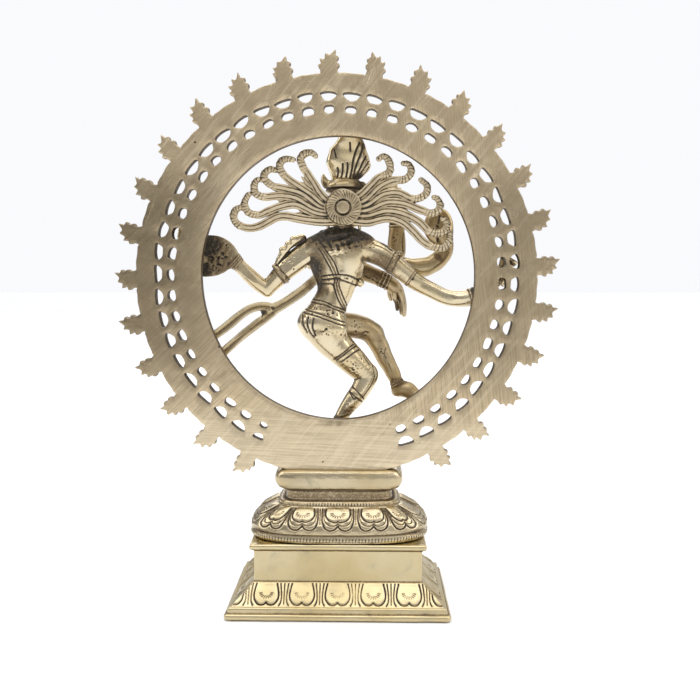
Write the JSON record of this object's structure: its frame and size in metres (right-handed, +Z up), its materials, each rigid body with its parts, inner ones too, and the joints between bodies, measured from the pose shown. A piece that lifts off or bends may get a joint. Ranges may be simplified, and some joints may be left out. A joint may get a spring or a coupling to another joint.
{
  "type": "dancing figure statue",
  "caption": "Brass dancing figure with flying hair on a lotus pedestal, inside a flat pierced arch edged with flames; the hair plate turns and lifts off on its pin.",
  "frame": {"origin": "middle of the plinth's underside, on the surface that the statue stands on", "axes": "+Z up, the dancer faces -Y, +X to the dancer's left; the arch stands just behind the dancer, on the +Y side"},
  "size_m": [0.2406, 0.08, 0.3],
  "materials": {
    "base_brass": "yellow brass, filed and polished, dark patina in the carving",
    "arch_brass": "pale brass, file-brushed satin",
    "figure_brass": "polished yellow brass with dark recesses",
    "dull_brass": "brown unpolished cast brass",
    "fastener_steel": "plain zinc-grey steel"
  },
  "bodies": {
    "statue": {"base_plinth": "base_brass", "lotus_pedestal": "base_brass", "flame_arch": "arch_brass", "dwarf_figure": "dull_brass", "figure_body": "figure_brass", "raised_leg": "dull_brass", "back_left_arm": "figure_brass", "hand_flame": "dull_brass", "back_right_arm": "figure_brass", "hand_drum": "dull_brass", "front_right_arm": "dull_brass", "front_left_arm": "dull_brass", "cobra": "dull_brass", "sash": "figure_brass", "crown_band": "figure_brass", "crown_plume": "figure_brass", "figure_stud": "fastener_steel", "stud_washer": "fastener_steel", "stud_nut": "fastener_steel", "tie_bar": "fastener_steel", "arch_stud_left": "fastener_steel", "arch_stud_right": "fastener_steel", "arch_washer_left": "fastener_steel", "arch_washer_right": "fastener_steel", "arch_nut_left": "fastener_steel", "arch_nut_right": "fastener_steel", "foot_dowel": "fastener_steel"},
    "hair_pin": {"hair_pin": "figure_brass"},
    "hair_plate": {"hair_plate": "arch_brass"}
  },
  "joints": [
    {"name": "pin_pull", "type": "slide", "parent": "statue", "child": "hair_pin", "axis": [0, 1, 0], "range_m": [0, 0.012]},
    {"name": "plate_turn", "type": "hinge", "parent": "hair_pin", "child": "hair_plate", "pos_m": [-0.0024, 0.0098, 0.2176], "axis": [0, 1, 0], "range_deg": [-3, 3]}
  ]
}
